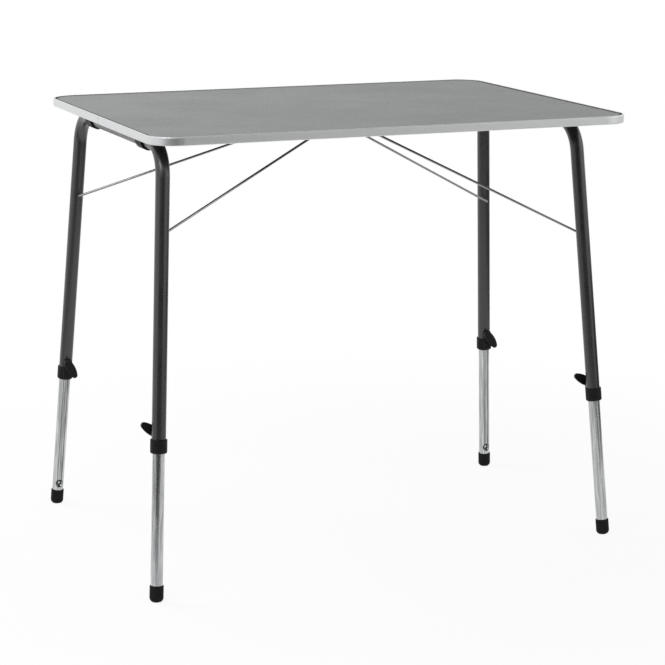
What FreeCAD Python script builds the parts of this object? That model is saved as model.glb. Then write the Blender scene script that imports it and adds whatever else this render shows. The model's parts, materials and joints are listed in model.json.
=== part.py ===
import FreeCAD, Part
import math
import os
from types import SimpleNamespace

import Sketcher

Vector = FreeCAD.Vector
Rotation = FreeCAD.Rotation
Placement = FreeCAD.Placement

# Driving sizes, in millimetres and degrees
SIZES = [
    ("top_length", 800, "length of the top over its trim"),
    ("top_width", 600, "width of the top over its trim"),
    ("table_height", 715, "height of the top above the floor, legs drawn out"),
    ("corner_radius", 46, "corner radius of the top"),
    ("trim_height", 13, "height of the edge trim"),
    ("trim_wall", 1.6, "wall of the edge trim"),
    ("trim_lip", 2.7, "reach of the trim over the board"),
    ("trim_lip_thickness", 1.2, "thickness of the trim's two lips"),
    ("trim_under_lip", 8, "reach of the trim under the board"),
    ("trim_edge_round", 1.4, "rounding of the trim's outer edges"),
    ("trim_seam_gap", 1.4, "gap of the trim's butt joint"),
    ("trim_seam_place", -6, "place of the butt joint along the left edge"),
    ("board_fit", 0.15, "clearance between the board and its trim"),
    ("deck_gap", 0.4, "gap between the trim's lip and the deck"),
    ("deck_rise", 0.4, "deck above the ledge under the trim's lip"),
    ("hinge_inset", 38.3, "hinge line from the end of the top"),
    ("hinge_drop", 12.2, "hinge line below the board's underside"),
    ("hinge_fit", 0.3, "clearance of a cross tube in its saddles"),
    ("tube_diameter", 22, "outside of the leg frame tube"),
    ("tube_wall", 1.2, "wall of the leg frame tube"),
    ("bend_radius", 50, "centre line radius of the frame's bends"),
    ("leg_tilt", 3.47, "outward lean of each leg frame"),
    ("left_leg_offset", 220.8, "left leg lines from the middle, at the hinge line"),
    ("left_leg_splay", 5.47, "spread of the left legs in their frame"),
    ("left_stay_hole", 138, "left stay's holes below the hinge line, in the frame"),
    ("left_bar_half", 49, "half the width of the left stay at its cross bar"),
    ("right_leg_offset", 172.9, "right leg lines from the middle, at the hinge line"),
    ("right_leg_splay", 4.68, "spread of the right legs in their frame"),
    ("right_stay_hole", 184, "right stay's holes below the hinge line, in the frame"),
    ("right_bar_half", 60, "half the width of the right stay at its cross bar"),
    ("wire_diameter", 4, "wire of the stays"),
    ("wire_fit", 0.4, "clearance of a stay's end in its hole"),
    ("wire_end_short", 3, "a stay's end short of the leg's centre line"),
    ("stay_bar_bend", 12, "bend between a stay's bar and its arms"),
    ("stay_end_bend", 6, "bend at a stay's leg ends"),
    ("stay_leg_gap", 5, "a stay's outer corner from the leg's surface"),
    ("bar_offset", 15, "stay bars from the middle of the table"),
    ("bar_drop", 10.7, "stay bars below the board's underside"),
    ("catch_reach", 30, "half the length of the centre catch's plate"),
    ("catch_width", 60, "width of the centre catch across the table"),
    ("catch_plate", 3, "thickness of the centre catch's plate"),
    ("hook_thickness", 3, "wall of the catch's hooks"),
    ("hook_lip", 2.5, "thickness of the hooks' lips"),
    ("hook_short", 0.9, "hook lips short of the bars' centre lines"),
    ("hook_gap", 0.4, "clearance of the bars in their hooks"),
    ("catch_screw_spacing", 36, "spacing of the catch's screws"),
    ("saddle_setback", 38, "saddle centres from the start of a bend"),
    ("saddle_width", 30, "width of a saddle along its tube"),
    ("saddle_strap", 2.6, "thickness of a saddle's strap"),
    ("saddle_flange", 3, "thickness of a saddle's flanges"),
    ("saddle_reach", 26, "flange ends from the tube's centre line"),
    ("saddle_corner", 4, "corner rounding of the flanges"),
    ("saddle_screw_reach", 20, "saddle screws from the tube's centre line"),
    ("screw_diameter", 4, "shank of the screws"),
    ("screw_bite", 8, "depth of the wood screws in the board"),
    ("screw_head_diameter", 8, "head of the wood screws"),
    ("screw_head_height", 2.6, "height of the wood screws' heads"),
    ("screw_crown_diameter", 5.6, "flat of the wood screws' heads"),
    ("screw_crown_height", 1.3, "height of the crown of the wood screws' heads"),
    ("screw_fit", 0.3, "clearance of a screw in a plain hole"),
    ("thread_fit", 0.05, "clearance of a screw in its own thread"),
    ("collar_drop", 443.5, "collar's upper rim below the hinge line, along the leg"),
    ("collar_height", 22, "height of a collar's ring"),
    ("collar_seat", 15, "depth of the tube's end in its collar"),
    ("collar_diameter", 26.4, "outside of a collar's ring"),
    ("collar_fit", 0.15, "clearance of the tube in its collar"),
    ("collar_round", 1, "rounding of the collar's upper rim and tongue"),
    ("collar_lower_round", 3, "rounding of the collar's lower rim"),
    ("tongue_width", 14, "width of a collar's tongue"),
    ("tongue_reach", 15.6, "face of the tongue from the leg's centre line"),
    ("tongue_rise", 16, "top of the tongue above the collar's rim"),
    ("tongue_round", 4, "rounding of the tongue's upper corners"),
    ("boss_diameter", 12.4, "boss round the clamp screw"),
    ("lever_height", 7.3, "clamp screw above the collar's rim"),
    ("lever_seat", 17.4, "face of the boss from the leg's centre line"),
    ("lever_gap", 0.3, "running gap between a boss and its lever"),
    ("lever_reach", 20.8, "centre of a lever's tip from the clamp screw"),
    ("lever_tip_radius", 5, "tip radius of a lever"),
    ("lever_heel", 3.9, "centre of a lever's heel behind the clamp screw"),
    ("lever_heel_radius", 6.6, "heel radius of a lever"),
    ("lever_side_radius", 45, "radius of a lever's bulging sides"),
    ("lever_thickness", 6.5, "thickness of a lever"),
    ("lever_round", 2, "rounding of a lever's outer edge"),
    ("front_lever_angle", 33, "front levers above the level"),
    ("back_lever_angle", -58.5, "back levers above the level"),
    ("clamp_head_diameter", 8, "head of a clamp screw, held in its lever"),
    ("clamp_head_height", 3, "height of a clamp screw's head"),
    ("clamp_fit", 0.1, "clearance of a clamp screw's head in its lever"),
    ("clamp_tip_bevel", 1, "bevel of a clamp screw's tip"),
    ("clamp_tip_gap", 0.4, "clamp screw's tip from the floor of the groove"),
    ("lower_diameter", 19, "outside of a lower tube"),
    ("lower_wall", 1, "wall of a lower tube"),
    ("lower_overlap", 52, "length of a lower tube above its collar's upper rim"),
    ("slide_fit", 0.3, "clearance of a lower tube in its collar"),
    ("groove_radius", 7, "radius of the pressed groove"),
    ("groove_depth", 2.8, "depth of the pressed groove"),
    ("rib_overlap", 0.25, "rib of the groove short of the tube's surface"),
    ("stop_radius", 7.8, "radius of the round stop at the groove's lower end"),
    ("stop_depth", 5.4, "depth of the round stop"),
    ("groove_end", 31, "lower end of the groove above the floor, along the leg"),
    ("foot_diameter", 21.8, "outside of a foot"),
    ("foot_height", 25.5, "top of a foot above the floor, along the leg"),
    ("foot_floor", 6, "end of the lower tube above the floor, along the leg"),
    ("foot_fit", 0.1, "clearance of a lower tube in its foot"),
    ("foot_round", 1.2, "rounding of a foot's upper rim"),
    ("foot_sole_round", 7.5, "rounding of a foot's lower edge"),
    ("foot_spare", 1, "foot length below the floor, before its sole is cut level"),
    ("plug_flange", 6, "height of a guide plug's flange"),
    ("plug_depth", 10, "depth of a guide plug in its tube"),
    ("plug_fit", 0.2, "clearance of a guide plug's flange in the upper tube"),
    ("plug_spigot_fit", 0.1, "clearance of a guide plug's spigot"),
]
# Edges this near a place count as lying there
NEAR = 1e-4
FULL_TURN = 360


class Size:
    """A number together with the formula that ties it to the sheet."""

    def __init__(self, value, formula):
        self.value = value
        self.formula = formula

    def __float__(self):
        return float(self.value)

    def __add__(self, other):
        other = as_size(other)
        return Size(self.value + other.value, f"({self.formula} + {other.formula})")

    def __sub__(self, other):
        other = as_size(other)
        return Size(self.value - other.value, f"({self.formula} - {other.formula})")

    def __mul__(self, other):
        other = as_size(other)
        return Size(self.value * other.value, f"({self.formula} * {other.formula})")

    def __truediv__(self, other):
        other = as_size(other)
        return Size(self.value / other.value, f"({self.formula} / {other.formula})")

    def __neg__(self):
        return Size(-self.value, f"(0 - {self.formula})")


def as_size(number):
    """Gives plain numbers a formula too."""
    if isinstance(number, Size):
        return number
    return Size(float(number), repr(float(number)))


def sine(angle):
    return Size(math.sin(math.radians(angle.value)), f"sin({angle.formula} * 1 deg)")


def cosine(angle):
    return Size(math.cos(math.radians(angle.value)), f"cos({angle.formula} * 1 deg)")


def tangent(angle):
    return Size(math.tan(math.radians(angle.value)), f"tan({angle.formula} * 1 deg)")


def root(number):
    return Size(math.sqrt(number.value), f"sqrt({number.formula})")


# Document and sheet
doc = FreeCAD.newDocument("camping_table")
sheet = doc.addObject("Spreadsheet::Sheet", "sizes")
s = SimpleNamespace()
for row, (alias, value, meaning) in enumerate(SIZES, 1):
    sheet.set(f"A{row}", meaning)
    sheet.set(f"B{row}", str(value))
    sheet.setAlias(f"B{row}", alias)
    setattr(s, alias, Size(value, f"sizes.{alias}"))
doc.recompute()

nodes = {}


# Helpers for bodies, sketches and features
def new_body(label, place):
    """Starts a sub-part at its place."""
    body = doc.addObject("PartDesign::Body", label)
    body.Label = label
    body.Placement = place
    return body


def keep(item, label):
    """Lists a finished sub-part for writing."""
    item.Label = label
    nodes[label] = item


def base_plane(body, role):
    return next(item for item in body.Origin.OriginFeatures if item.Role == role)


def new_sketch(body, role, lift=0):
    """Starts a sketch on a plane of the body's own, lifted along the plane's normal."""
    sketch = body.newObject("Sketcher::SketchObject", f"{body.Name}_sketch")
    sketch.AttachmentSupport = [(base_plane(body, role), "")]
    sketch.MapMode = "FlatFace"
    sketch.setExpression("AttachmentOffset.Base.z", as_size(lift).formula)
    return sketch


def dimension(sketch, kind, *references, size):
    """Adds a dimension to a sketch and ties it to its formula."""
    index = sketch.addConstraint(Sketcher.Constraint(kind, *references, float(size)))
    sketch.setExpression(f"Constraints[{index}]", as_size(size).formula)


def place_point(sketch, geometry, point, across, up):
    """Dimensions one point of a sketch from the sketch's origin."""
    dimension(sketch, "DistanceX", -1, 1, geometry, point, size=across)
    dimension(sketch, "DistanceY", -1, 1, geometry, point, size=up)


def add_circle(sketch, radius, across=0, up=0):
    centre = Vector(float(across), float(up), 0)
    circle = sketch.addGeometry(Part.Circle(centre, Vector(0, 0, 1), float(radius)))
    dimension(sketch, "Radius", circle, size=radius)
    place_point(sketch, circle, 3, across, up)


def add_half_disc(sketch, radius):
    """Adds the lower half of a disc about the sketch's origin."""
    reach = float(radius)
    arc = sketch.addGeometry(arc_between((0, 0), reach, 180, 360))
    line = sketch.addGeometry(Part.LineSegment(Vector(reach, 0, 0), Vector(-reach, 0, 0)))
    sketch.addConstraint(Sketcher.Constraint("Coincident", arc, 2, line, 1))
    sketch.addConstraint(Sketcher.Constraint("Coincident", line, 2, arc, 1))
    sketch.addConstraint(Sketcher.Constraint("Coincident", arc, 3, -1, 1))
    sketch.addConstraint(Sketcher.Constraint("Horizontal", line))
    dimension(sketch, "Radius", arc, size=radius)


def add_lens(sketch, reach, hollow):
    """Adds the lens between a circle about the sketch's origin and the back of a hollow above it."""
    corner, half, centre = float(hollow.corner), float(hollow.half), float(hollow.centre)
    outer_start = math.degrees(math.atan2(corner, half))
    inner_end = math.degrees(math.atan2(corner - centre, half))
    outer = sketch.addGeometry(arc_between((0, 0), float(reach), outer_start, 180 - outer_start))
    inner = arc_between((0, centre), float(hollow.back), 180 - inner_end, FULL_TURN + inner_end)
    inner = sketch.addGeometry(inner)
    sketch.addConstraint(Sketcher.Constraint("Coincident", outer, 3, -1, 1))
    place_point(sketch, inner, 3, 0, hollow.centre)
    dimension(sketch, "Radius", outer, size=reach)
    dimension(sketch, "Radius", inner, size=hollow.back)
    sketch.addConstraint(Sketcher.Constraint("Coincident", outer, 2, inner, 1))
    sketch.addConstraint(Sketcher.Constraint("Coincident", inner, 2, outer, 1))


def add_outline(sketch, points):
    """Adds a closed outline of straight lines through dimensioned points."""
    corners = [Vector(float(across), float(up), 0) for across, up in points]
    lines = []
    for start, end in zip(corners, corners[1:] + corners[:1]):
        lines.append(sketch.addGeometry(Part.LineSegment(start, end)))
    for line, following in zip(lines, lines[1:] + lines[:1]):
        sketch.addConstraint(Sketcher.Constraint("Coincident", line, 2, following, 1))
    for line, (across, up) in zip(lines, points):
        place_point(sketch, line, 1, across, up)


def add_rectangle(sketch, low_across, low_up, high_across, high_up):
    add_outline(sketch, [
        (low_across, low_up), (high_across, low_up), (high_across, high_up), (low_across, high_up),
    ])


def arc_between(centre, radius, start_deg, end_deg):
    circle = Part.Circle(Vector(*centre, 0), Vector(0, 0, 1), radius)
    return Part.ArcOfCircle(circle, math.radians(start_deg), math.radians(end_deg))


def add_rounded_rectangle(sketch, length, width, radius):
    """Adds a rectangle about the sketch's origin, with four equal round corners."""
    across, up, bend = float(length) / 2, float(width) / 2, float(radius)
    flat, rise = across - bend, up - bend
    sides = [
        ((-flat, -up), (flat, -up)), ((across, -rise), (across, rise)),
        ((flat, up), (-flat, up)), ((-across, rise), (-across, -rise)),
    ]
    lines = [sketch.addGeometry(Part.LineSegment(Vector(*a, 0), Vector(*b, 0))) for a, b in sides]
    centres = [(flat, -rise), (flat, rise), (-flat, rise), (-flat, -rise)]
    arcs = []
    for turn, centre in enumerate(centres):
        start = 90 * turn - 90
        arcs.append(sketch.addGeometry(arc_between(centre, bend, start, start + 90)))
    for line, arc, following in zip(lines, arcs, lines[1:] + lines[:1]):
        sketch.addConstraint(Sketcher.Constraint("Tangent", line, 2, arc, 1))
        sketch.addConstraint(Sketcher.Constraint("Tangent", arc, 2, following, 1))
    for arc in arcs[1:]:
        sketch.addConstraint(Sketcher.Constraint("Equal", arcs[0], arc))
    for line, direction in zip(lines[:2], ("Horizontal", "Vertical")):
        sketch.addConstraint(Sketcher.Constraint(direction, line))
    dimension(sketch, "Radius", arcs[0], size=radius)
    dimension(sketch, "DistanceX", lines[3], 1, lines[1], 1, size=length)
    dimension(sketch, "DistanceY", lines[0], 1, lines[2], 1, size=width)
    sketch.addConstraint(Sketcher.Constraint("Symmetric", arcs[0], 3, arcs[2], 3, -1, 1))


def pad(body, sketch, length, backwards=False, centred=False):
    feature = body.newObject("PartDesign::Pad", f"{body.Name}_pad")
    feature.Profile = sketch
    feature.Reversed = backwards
    feature.SideType = "Symmetric" if centred else "One side"
    feature.setExpression("Length", as_size(length).formula)
    doc.recompute()
    return feature


def pocket(body, sketch, length, backwards=False, centred=False):
    """Cuts a sketch into a body, and makes sure that it cut something."""
    before = body.Shape.Volume
    feature = body.newObject("PartDesign::Pocket", f"{body.Name}_pocket")
    feature.Profile = sketch
    feature.Reversed = backwards
    feature.SideType = "Symmetric" if centred else "One side"
    feature.setExpression("Length", as_size(length).formula)
    doc.recompute()
    if body.Shape.Volume >= before:
        raise RuntimeError(f"{body.Label}: a pocket cuts nothing")
    return feature


def revolve(body, sketch):
    """Turns a profile right round the vertical axis of its sketch."""
    feature = body.newObject("PartDesign::Revolution", f"{body.Name}_turned")
    feature.Profile = sketch
    feature.ReferenceAxis = (sketch, ["V_Axis"])
    feature.Angle = FULL_TURN
    doc.recompute()
    return feature


def round_edges(body, radius, wanted):
    """Rounds those edges of a body that the test picks."""
    base = body.Tip
    names = [f"Edge{n}" for n, edge in enumerate(base.Shape.Edges, 1) if wanted(edge)]
    feature = body.newObject("PartDesign::Fillet", f"{body.Name}_round")
    feature.Base = (base, names)
    feature.setExpression("Radius", as_size(radius).formula)
    doc.recompute()
    return feature


def sweep_both_ways(body, profile, spine):
    """Sweeps half of a bent piece and mirrors it across the middle of the table."""
    pipe = body.newObject("PartDesign::AdditivePipe", f"{body.Name}_pipe")
    pipe.Profile = profile
    pipe.Spine = (spine, [f"Edge{n}" for n in range(1, len(spine.Shape.Edges) + 1)])
    doc.recompute()
    mirror = body.newObject("PartDesign::Mirrored", f"{body.Name}_mirror")
    mirror.Originals = [pipe]
    mirror.MirrorPlane = (base_plane(body, "XZ_Plane"), [""])
    body.Tip = mirror
    doc.recompute()


def level_line(edge, height):
    """True for an edge that lies level at a height."""
    box = edge.BoundBox
    return abs(box.ZMin - float(height)) < NEAR and abs(box.ZMax - float(height)) < NEAR


def upright_line(edge):
    box = edge.BoundBox
    return box.XLength < NEAR and box.YLength < NEAR


# Places worked out from the driving sizes
board_underside = s.table_height - s.trim_height + s.trim_lip_thickness
hinge_height = board_underside - s.hinge_drop
hinge_reach = s.top_length / 2 - s.hinge_inset
bar_height = board_underside - s.bar_drop
tube_radius = s.tube_diameter / 2
tube_inside = tube_radius - s.tube_wall
wire_radius = s.wire_diameter / 2
screw_radius = s.screw_diameter / 2
lower_radius = s.lower_diameter / 2
lower_inside = lower_radius - s.lower_wall
rib_reach = lower_radius - s.rib_overlap


def pressed(radius, depth):
    """Gives the sizes of a round hollow in a lower tube and of the lens-shaped rib behind it."""
    centre = lower_radius + radius - depth
    back = radius + s.lower_wall
    corner = (rib_reach * rib_reach - back * back + centre * centre) / (centre * 2)
    half = root(rib_reach * rib_reach - corner * corner)
    return SimpleNamespace(radius=radius, centre=centre, back=back, corner=corner, half=half)


groove = pressed(s.groove_radius, s.groove_depth)
stop = pressed(s.stop_radius, s.stop_depth)

# The two leg frames, each with its side of the table
FRAMES = [
    SimpleNamespace(
        name="left", side=-1, offset=s.left_leg_offset, splay=s.left_leg_splay,
        stay_hole=s.left_stay_hole, bar_half=s.left_bar_half,
    ),
    SimpleNamespace(
        name="right", side=1, offset=s.right_leg_offset, splay=s.right_leg_splay,
        stay_hole=s.right_stay_hole, bar_half=s.right_bar_half,
    ),
]
ENDS = [("front", -1, s.front_lever_angle), ("back", 1, s.back_lever_angle)]


def bend_reach(frame):
    """Length from a frame's sharp corner to where its bend starts."""
    half_turn = (as_size(90) - frame.splay) / 2
    return s.bend_radius * tangent(half_turn)


def saddle_places(frame):
    """Saddle centres of a frame along its cross tube."""
    place = frame.offset - bend_reach(frame) - s.saddle_setback
    return [(name, place if end > 0 else -place) for name, end, _ in ENDS]


def frame_place(frame):
    """A frame's own axes: the hinge line along Y, and the legs down its Z axis."""
    base = Vector(frame.side * float(hinge_reach), 0, float(hinge_height))
    return Placement(base, Rotation(Vector(0, 1, 0), -frame.side * float(s.leg_tilt)))


def leg_place(frame, end, distance):
    """A leg's own axes at a distance along it: Z up the leg, Y towards the middle of the table."""
    splay = float(frame.splay)
    out = float(frame.offset) + float(distance) * math.sin(math.radians(splay))
    down = float(distance) * math.cos(math.radians(splay))
    lean = Placement(Vector(0, end * out, -down), Rotation(Vector(1, 0, 0), end * splay))
    facing = Placement(Vector(), Rotation(Vector(0, 0, 1), 180 if end > 0 else 0))
    return frame_place(frame) * lean * facing


def floor_distance(frame):
    """Distance along a leg from the hinge line to the floor."""
    return hinge_height / (cosine(frame.splay) * cosine(s.leg_tilt))


def lower_top(frame):
    """Upper end of a lower tube above the floor, along the leg."""
    return floor_distance(frame) - s.collar_drop + s.lower_overlap


def leg_out(frame, down):
    """A leg line's distance from the middle at a depth below the hinge line."""
    return frame.offset + down * tangent(frame.splay)


def screw_points():
    """Places of all wood screws in the board, saddles first, then the catch."""
    saddles = []
    for frame in FRAMES:
        for _, along in saddle_places(frame):
            for way in (-1, 1):
                saddles.append((hinge_reach * frame.side + s.saddle_screw_reach * way, along))
    catch = [(as_size(0), s.catch_screw_spacing / 2 * way) for way in (-1, 1)]
    return saddles, catch


# Board: a slab with a low ledge under its trim, and pilot holes for its screws
def make_board():
    body = new_body("table_board", Placement(Vector(0, 0, float(board_underside)), Rotation()))
    edge = s.trim_wall + s.board_fit
    slab = new_sketch(body, "XY_Plane")
    add_rounded_rectangle(slab, s.top_length - edge * 2, s.top_width - edge * 2, s.corner_radius - edge)
    ledge = s.trim_height - s.trim_lip_thickness * 2 - s.board_fit
    pad(body, slab, ledge)
    inset = s.trim_lip + s.deck_gap
    deck = new_sketch(body, "XY_Plane", ledge)
    add_rounded_rectangle(deck, s.top_length - inset * 2, s.top_width - inset * 2, s.corner_radius - inset)
    pad(body, deck, s.deck_rise)
    holes = new_sketch(body, "XY_Plane")
    saddle_screws, catch_screws = screw_points()
    for across, up in saddle_screws + catch_screws:
        add_circle(holes, screw_radius + s.thread_fit, across, up)
    pocket(body, holes, s.screw_bite + s.thread_fit, backwards=True)
    keep(body, "table_board")


# Trim: one channel strip bent round the board, butt jointed on the left edge
def make_trim():
    base = s.table_height - s.trim_height
    body = new_body("edge_trim", Placement(Vector(0, 0, float(base)), Rotation()))
    wall_height = s.trim_height - s.trim_lip_thickness * 2
    layers = [
        (as_size(0), s.trim_lip_thickness, s.trim_under_lip),
        (s.trim_lip_thickness, wall_height, s.trim_wall),
        (s.trim_height - s.trim_lip_thickness, s.trim_lip_thickness, s.trim_lip),
    ]
    for lift, height, reach in layers:
        ring = new_sketch(body, "XY_Plane", lift)
        add_rounded_rectangle(ring, s.top_length, s.top_width, s.corner_radius)
        inner_length, inner_width = s.top_length - reach * 2, s.top_width - reach * 2
        add_rounded_rectangle(ring, inner_length, inner_width, s.corner_radius - reach)
        pad(body, ring, height)

    def outer_rim(edge):
        at_rim = level_line(edge, 0) or level_line(edge, s.trim_height)
        box = edge.BoundBox
        reach = max(abs(box.XMin), abs(box.XMax)) - float(s.top_length) / 2
        spread = max(abs(box.YMin), abs(box.YMax)) - float(s.top_width) / 2
        return at_rim and max(reach, spread) > -NEAR

    round_edges(body, s.trim_edge_round, outer_rim)
    seam = new_sketch(body, "XY_Plane")
    low, high = s.trim_seam_place - s.trim_seam_gap / 2, s.trim_seam_place + s.trim_seam_gap / 2
    outer, inner = -s.top_length / 2, s.trim_under_lip - s.top_length / 2
    add_rectangle(seam, outer, low, inner, high)
    pocket(body, seam, s.trim_height, backwards=True)
    keep(body, "edge_trim")


# Saddles: strap clips with two screwed flanges, each round a cross tube
def make_saddle(frame, end_name, along):
    label = f"{frame.name}_{end_name}_saddle"
    base = Vector(frame.side * float(hinge_reach), float(along), float(hinge_height))
    body = new_body(label, Placement(base, Rotation()))
    bore = tube_radius + s.hinge_fit
    strap = bore + s.saddle_strap
    flange = new_sketch(body, "XZ_Plane")
    add_rectangle(flange, -s.saddle_reach, s.hinge_drop - s.saddle_flange, s.saddle_reach, s.hinge_drop)
    pad(body, flange, s.saddle_width, centred=True)
    round_edges(body, s.saddle_corner, upright_line)
    walls = new_sketch(body, "XZ_Plane")
    add_rectangle(walls, -strap, as_size(0), strap, s.hinge_drop)
    pad(body, walls, s.saddle_width, centred=True)
    cup = new_sketch(body, "XZ_Plane")
    add_half_disc(cup, strap)
    pad(body, cup, s.saddle_width, centred=True)
    channel = new_sketch(body, "XZ_Plane")
    add_rectangle(channel, -bore, as_size(0), bore, s.hinge_drop)
    pocket(body, channel, s.saddle_width, centred=True)
    hollow = new_sketch(body, "XZ_Plane")
    add_half_disc(hollow, bore)
    pocket(body, hollow, s.saddle_width, centred=True)
    holes = new_sketch(body, "XY_Plane", s.hinge_drop)
    for way in (-1, 1):
        add_circle(holes, screw_radius + s.screw_fit, s.saddle_screw_reach * way)
    pocket(body, holes, s.saddle_flange)
    keep(body, label)


# Screws: pan heads under the plate that they hold, shanks up in the board
def make_screws(label, plate, places):
    blank = new_body(f"{label}_blank", Placement())
    head = s.screw_head_diameter / 2
    under = -plate - s.screw_head_height
    profile = new_sketch(blank, "XZ_Plane")
    add_outline(profile, [
        (as_size(0), under), (s.screw_crown_diameter / 2, under),
        (head, under + s.screw_crown_height), (head, -plate),
        (screw_radius, -plate), (screw_radius, s.screw_bite - screw_radius), (as_size(0), s.screw_bite),
    ])
    revolve(blank, profile)
    group = doc.addObject("Part::Feature", label)
    copies = []
    for across, up in places:
        copy = blank.Shape.copy()
        copy.translate(Vector(float(across), float(up), float(board_underside)))
        copies.append(copy)
    group.Shape = Part.makeCompound(copies)
    keep(group, label)


# Catch: a plate with two hooks that open towards each other
def make_catch():
    body = new_body("centre_catch", Placement(Vector(0, 0, float(board_underside)), Rotation()))
    wall_in = s.bar_offset + wire_radius + s.hook_gap
    wall_out = wall_in + s.hook_thickness
    lip_end = s.bar_offset + s.hook_short
    lip_top = -(s.bar_drop + wire_radius + s.hook_gap)
    lip_base = lip_top - s.hook_lip
    right_half = [
        (wall_in, -s.catch_plate), (wall_in, lip_top), (lip_end, lip_top), (lip_end, lip_base),
        (wall_out, lip_base), (wall_out, -s.catch_plate), (s.catch_reach, -s.catch_plate),
        (s.catch_reach, as_size(0)),
    ]
    left_half = [(-across, up) for across, up in reversed(right_half)]
    section = new_sketch(body, "XZ_Plane")
    add_outline(section, right_half + left_half)
    pad(body, section, s.catch_width, centred=True)
    holes = new_sketch(body, "XY_Plane")
    for across, up in screw_points()[1]:
        add_circle(holes, screw_radius + s.screw_fit, across, up)
    pocket(body, holes, s.catch_plate)
    keep(body, "centre_catch")


# Leg frames: a bent tube with holes for its stay and its two clamp screws
def make_leg_frame(frame):
    label = f"{frame.name}_leg_frame"
    body = new_body(label, frame_place(frame))
    section = new_sketch(body, "XZ_Plane")
    add_circle(section, tube_radius)
    add_circle(section, tube_inside)
    reach = bend_reach(frame)
    length = s.collar_drop + s.collar_seat
    start = frame.offset - reach
    end = (frame.offset + length * sine(frame.splay), -length * cosine(frame.splay))
    bend_end = (frame.offset + reach * sine(frame.splay), -reach * cosine(frame.splay))
    spine = new_sketch(body, "YZ_Plane")
    cross = spine.addGeometry(Part.LineSegment(Vector(), Vector(float(start), 0, 0)))
    bend = arc_between((float(start), -float(s.bend_radius)), float(s.bend_radius), float(frame.splay), 90)
    bend = spine.addGeometry(bend)
    leg = spine.addGeometry(Part.LineSegment(Vector(*map(float, bend_end), 0), Vector(*map(float, end), 0)))
    spine.addConstraint(Sketcher.Constraint("Coincident", cross, 1, -1, 1))
    spine.addConstraint(Sketcher.Constraint("Horizontal", cross))
    spine.addConstraint(Sketcher.Constraint("Tangent", cross, 2, bend, 2))
    spine.addConstraint(Sketcher.Constraint("Tangent", bend, 1, leg, 1))
    dimension(spine, "DistanceX", -1, 1, cross, 2, size=start)
    dimension(spine, "Radius", bend, size=s.bend_radius)
    place_point(spine, leg, 2, *end)
    doc.recompute()
    sweep_both_ways(body, section, spine)
    screw_along = s.collar_drop - s.lever_height
    screw_down = screw_along * cosine(frame.splay) + (tube_radius - s.tube_wall / 2) * sine(frame.splay)
    holes = [
        (frame.stay_hole, wire_radius + s.wire_fit),
        (screw_down, screw_radius + s.screw_fit * 2),
    ]
    for down, radius in holes:
        hole = new_sketch(body, "XZ_Plane")
        add_circle(hole, radius, 0, -down)
        pocket(body, hole, leg_out(frame, down) * 2, centred=True)
    keep(body, label)


# Stays: a bent wire, flat in its own plane, with its ends turned out into the legs
def stay_ends(frame):
    """A stay's reach inwards and its rise, from its holes to its bar."""
    hole_reach = hinge_reach + frame.stay_hole * sine(s.leg_tilt)
    hole_height = hinge_height - frame.stay_hole * cosine(s.leg_tilt)
    return hole_reach - s.bar_offset, bar_height - hole_height


def stay_place(frame):
    """A stay's own axes at its holes: X along the stay to its bar, Y across the table."""
    run, rise = map(float, stay_ends(frame))
    base = frame_place(frame).multVec(Vector(0, 0, -float(frame.stay_hole)))
    slope = math.degrees(math.atan2(rise, -frame.side * run))
    return Placement(base, Rotation(Vector(0, 1, 0), -slope))


def make_stay(frame):
    label = f"{frame.name}_stay"
    body = new_body(label, stay_place(frame))
    run, rise = stay_ends(frame)
    length = root(run * run + rise * rise)
    leg_line = leg_out(frame, frame.stay_hole)
    corner = leg_line - tube_radius - s.stay_leg_gap
    tip = leg_line - s.wire_end_short
    section = new_sketch(body, "XZ_Plane")
    add_circle(section, wire_radius, length)
    spine = new_sketch(body, "XY_Plane")
    bar_corner = Vector(float(length), float(frame.bar_half), 0)
    leg_corner = Vector(0, float(corner), 0)
    arm = (leg_corner - bar_corner).normalize()
    turn = math.degrees(math.atan2(-arm.x, arm.y))
    bar_bend, end_bend = float(s.stay_bar_bend), float(s.stay_end_bend)
    half_tan = math.tan(math.radians(turn / 2))
    bar_end = bar_corner - Vector(0, bar_bend * half_tan, 0)
    arm_start = bar_corner + arm * (bar_bend * half_tan)
    arm_end = leg_corner - arm * (end_bend * half_tan)
    tip_start = leg_corner + Vector(0, end_bend * half_tan, 0)
    bar_centre = (bar_end.x - bar_bend, bar_end.y)
    end_centre = (tip_start.x + end_bend, tip_start.y)
    bar = spine.addGeometry(Part.LineSegment(Vector(float(length), 0, 0), bar_end))
    bend_a = spine.addGeometry(arc_between(bar_centre, bar_bend, 0, turn))
    side = spine.addGeometry(Part.LineSegment(arm_start, arm_end))
    bend_b = spine.addGeometry(arc_between(end_centre, end_bend, 180, 180 + turn))
    end = spine.addGeometry(Part.LineSegment(tip_start, Vector(0, float(tip), 0)))
    for first, point, second, start in (
        (bar, 2, bend_a, 1), (bend_a, 2, side, 1), (side, 2, bend_b, 2), (bend_b, 1, end, 1),
    ):
        spine.addConstraint(Sketcher.Constraint("Tangent", first, point, second, start))
    for line in (bar, end):
        spine.addConstraint(Sketcher.Constraint("Vertical", line))
    place_point(spine, bar, 1, length, 0)
    place_point(spine, end, 2, 0, tip)
    dimension(spine, "Radius", bend_a, size=s.stay_bar_bend)
    dimension(spine, "Radius", bend_b, size=s.stay_end_bend)
    for spot, across, up in ((bar_corner, length, frame.bar_half), (leg_corner, 0, corner)):
        mark = spine.addGeometry(Part.Point(spot), True)
        place_point(spine, mark, 1, across, up)
        spine.addConstraint(Sketcher.Constraint("PointOnObject", mark, 1, side))
    doc.recompute()
    sweep_both_ways(body, section, spine)
    keep(body, label)


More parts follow.
